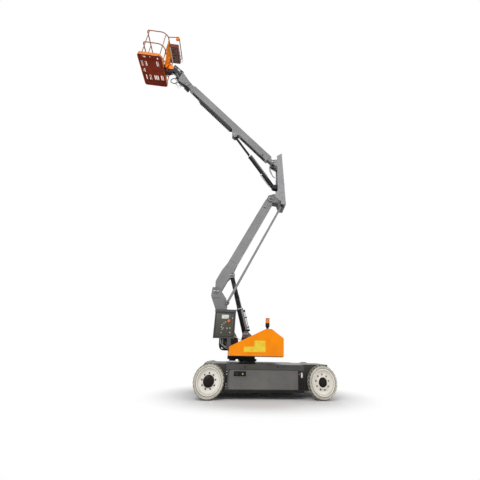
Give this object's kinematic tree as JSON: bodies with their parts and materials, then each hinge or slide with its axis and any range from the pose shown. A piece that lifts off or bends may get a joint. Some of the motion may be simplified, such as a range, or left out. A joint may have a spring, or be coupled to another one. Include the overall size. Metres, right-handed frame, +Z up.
{
  "type": "articulating boom lift",
  "caption": "Battery boom lift: four-wheel chassis, slewing turret, lower boom with tie rod, upright, telescoping upper boom and a levelled turning platform.",
  "frame": {"origin": "on the floor, under the middle of the whole machine's box", "axes": "+Z up; +X towards the steered wheels' end; +Y the far side, across the chassis"},
  "size_m": [5.128, 1.5066, 9.1638],
  "materials": {
    "boom_grey": "semi-gloss paint",
    "orange_paint": "semi-gloss paint",
    "black_paint": "satin paint",
    "rim_paint": "satin paint",
    "galvanised": "satin",
    "rod_chrome": "polished",
    "tyre": "pale non-marking rubber",
    "hose": "matte",
    "chain": "matte",
    "lens": "clear",
    "battery": "matte",
    "ballast": "painted"
  },
  "bodies": {
    "chassis": {"chassis_frame": "boom_grey", "side_frames": "boom_grey", "chassis_ends": "boom_grey", "battery_pack": "battery", "drive_axle": "black_paint", "steer_axle": "black_paint"},
    "wheel_drive_near": {"tyre_drive_near": "tyre", "rim_drive_near": "rim_paint"},
    "wheel_drive_far": {"tyre_drive_far": "tyre", "rim_drive_far": "rim_paint"},
    "wheel_steer_near": {"tyre_steer_near": "tyre", "rim_steer_near": "rim_paint"},
    "wheel_steer_far": {"tyre_steer_far": "tyre", "rim_steer_far": "rim_paint"},
    "knuckle_near": {"knuckle_near": "black_paint"},
    "knuckle_far": {"knuckle_far": "black_paint"},
    "track_rod": {"track_rod": "galvanised"},
    "side_door_near": {"side_door_near": "boom_grey"},
    "side_door_far": {"side_door_far": "boom_grey"},
    "turret": {"turret_base": "black_paint", "turret_frame": "boom_grey", "turret_cover": "orange_paint", "counterweight": "ballast", "control_box": "black_paint", "beacon_base": "black_paint", "beacon_lens": "lens", "turret_hoses": "hose"},
    "lower_boom": {"lower_boom": "boom_grey"},
    "tie_rod": {"tie_rod": "boom_grey"},
    "upright": {"upright": "boom_grey"},
    "lift_barrel": {"lift_barrel": "black_paint"},
    "lift_rod": {"lift_rod": "rod_chrome", "lift_gaiter": "hose"},
    "upper_boom": {"outer_boom": "boom_grey", "energy_chain": "chain"},
    "tilt_barrel": {"tilt_barrel": "black_paint"},
    "tilt_rod": {"tilt_rod": "black_paint"},
    "fly": {"fly_boom": "boom_grey", "head_hoses": "hose"},
    "level_head": {"rotator": "black_paint"},
    "level_barrel": {"level_barrel": "black_paint"},
    "level_rod": {"level_rod": "rod_chrome"},
    "platform": {"platform_bracket": "orange_paint", "platform_floor": "orange_paint", "platform_rails": "orange_paint", "console": "black_paint"},
    "gate": {"platform_gate": "orange_paint"}
  },
  "joints": [
    {"name": "spin_drive_near", "type": "hinge", "parent": "chassis", "child": "wheel_drive_near", "pos_m": [0.38597, -0.655, 0.255], "axis": [0, 1, 0], "continuous": true},
    {"name": "spin_drive_far", "type": "hinge", "parent": "chassis", "child": "wheel_drive_far", "pos_m": [0.38597, 0.655, 0.255], "axis": [0, 1, 0], "continuous": true},
    {"name": "spin_steer_near", "type": "hinge", "parent": "knuckle_near", "child": "wheel_steer_near", "pos_m": [2.30897, -0.655, 0.255], "axis": [0, 1, 0], "continuous": true},
    {"name": "spin_steer_far", "type": "hinge", "parent": "knuckle_far", "child": "wheel_steer_far", "pos_m": [2.30897, 0.655, 0.255], "axis": [0, 1, 0], "continuous": true},
    {"name": "steer_near", "type": "hinge", "parent": "chassis", "child": "knuckle_near", "pos_m": [2.30897, -0.595, 0.255], "axis": [0, 0, 1], "range_deg": [-35, 35]},
    {"name": "steer_far", "type": "hinge", "parent": "chassis", "child": "knuckle_far", "pos_m": [2.30897, 0.595, 0.255], "axis": [0, 0, 1], "range_deg": [-35, 35]},
    {"name": "track_rod_slide", "type": "slide", "parent": "chassis", "child": "track_rod", "axis": [0, 1, 0], "range_m": [-0.0651, 0.0651]},
    {"name": "door_near", "type": "hinge", "parent": "chassis", "child": "side_door_near", "pos_m": [0.70997, -0.654, 0.28], "axis": [0, 0, -1], "range_deg": [0, 100]},
    {"name": "door_far", "type": "hinge", "parent": "chassis", "child": "side_door_far", "pos_m": [0.70997, 0.654, 0.28], "axis": [0, 0, 1], "range_deg": [0, 100]},
    {"name": "slew", "type": "hinge", "parent": "chassis", "child": "turret", "pos_m": [1.05297, 0, 0.5], "axis": [0, 0, 1], "range_deg": [-177.5, 177.5]},
    {"name": "lower_lift", "type": "hinge", "parent": "turret", "child": "lower_boom", "pos_m": [0.32797, 0.2, 1.785], "axis": [0, -1, 0], "range_deg": [-86.7, 2]},
    {"name": "tie_rod_turn", "type": "hinge", "parent": "turret", "child": "tie_rod", "pos_m": [0.58297, 0.028, 1.561], "axis": [0, -1, 0], "range_deg": [-86.7, 2]},
    {"name": "upright_level", "type": "hinge", "parent": "lower_boom", "child": "upright", "pos_m": [1.45422, 0.2, 4.08395], "axis": [0, -1, 0], "range_deg": [-2, 86.7]},
    {"name": "lift_barrel_turn", "type": "hinge", "parent": "turret", "child": "lift_barrel", "pos_m": [1.00597, 0.2, 0.992], "axis": [0, -1, 0], "range_deg": [-0.32, 5.4]},
    {"name": "lift_rod_slide", "type": "slide", "parent": "lift_barrel", "child": "lift_rod", "axis": [-0.309, 0, 0.9511], "range_m": [-0.6189, 0.0162], "deforming": ["lift_gaiter"]},
    {"name": "upper_lift", "type": "hinge", "parent": "upright", "child": "upper_boom", "pos_m": [1.46222, -0.085, 5.02195], "axis": [0, -1, 0], "range_deg": [-25.8, 60.9]},
    {"name": "tilt_barrel_turn", "type": "hinge", "parent": "upright", "child": "tilt_barrel", "pos_m": [1.48921, -0.085, 4.29995], "axis": [0, -1, 0], "range_deg": [-18.39, 43.13]},
    {"name": "tilt_rod_slide", "type": "slide", "parent": "tilt_barrel", "child": "tilt_rod", "axis": [-0.5853, 0, 0.8108], "range_m": [-0.661, 0.2812]},
    {"name": "telescope", "type": "slide", "parent": "upper_boom", "child": "fly", "axis": [-0.7169, 0, 0.6972], "range_m": [-0.14, 0.95]},
    {"name": "platform_level", "type": "hinge", "parent": "fly", "child": "level_head", "pos_m": [-1.57897, -0.085, 8.13992], "axis": [0, -1, 0], "range_deg": [-60.9, 25.8]},
    {"name": "level_rod_turn", "type": "hinge", "parent": "level_head", "child": "level_rod", "pos_m": [-1.65897, -0.085, 7.97492], "axis": [0, -1, 0], "range_deg": [-26.22, 61.62]},
    {"name": "level_barrel_slide", "type": "slide", "parent": "level_rod", "child": "level_barrel", "axis": [0.7048, 0, -0.7094], "range_m": [-0.081, 0.1884]},
    {"name": "platform_rotate", "type": "hinge", "parent": "level_head", "child": "platform", "pos_m": [-1.74197, -0.085, 7.95992], "axis": [0, 0, 1], "range_deg": [-90, 90]},
    {"name": "gate", "type": "hinge", "parent": "platform", "child": "gate", "pos_m": [-1.95497, 0.459, 8.54992], "axis": [0, 0, 1], "range_deg": [0, 90]}
  ],
  "couplings": [
    {"joint": "steer_far", "follows": "steer_near", "ratio": 1},
    {"joint": "track_rod_slide", "follows": "steer_near", "m_per_rad": -0.105},
    {"joint": "tie_rod_turn", "follows": "lower_lift", "ratio": 1},
    {"joint": "upright_level", "follows": "lower_lift", "ratio": -1},
    {"joint": "lift_barrel_turn", "follows": "lower_lift", "ratio": -0.06},
    {"joint": "lift_rod_slide", "follows": "lower_lift", "m_per_rad": 0.4077},
    {"joint": "tilt_barrel_turn", "follows": "upper_lift", "ratio": 0.705},
    {"joint": "tilt_rod_slide", "follows": "upper_lift", "m_per_rad": -0.62},
    {"joint": "platform_level", "follows": "upper_lift", "ratio": -1},
    {"joint": "level_rod_turn", "follows": "upper_lift", "ratio": 1.0085},
    {"joint": "level_barrel_slide", "follows": "upper_lift", "m_per_rad": 0.17539}
  ]
}
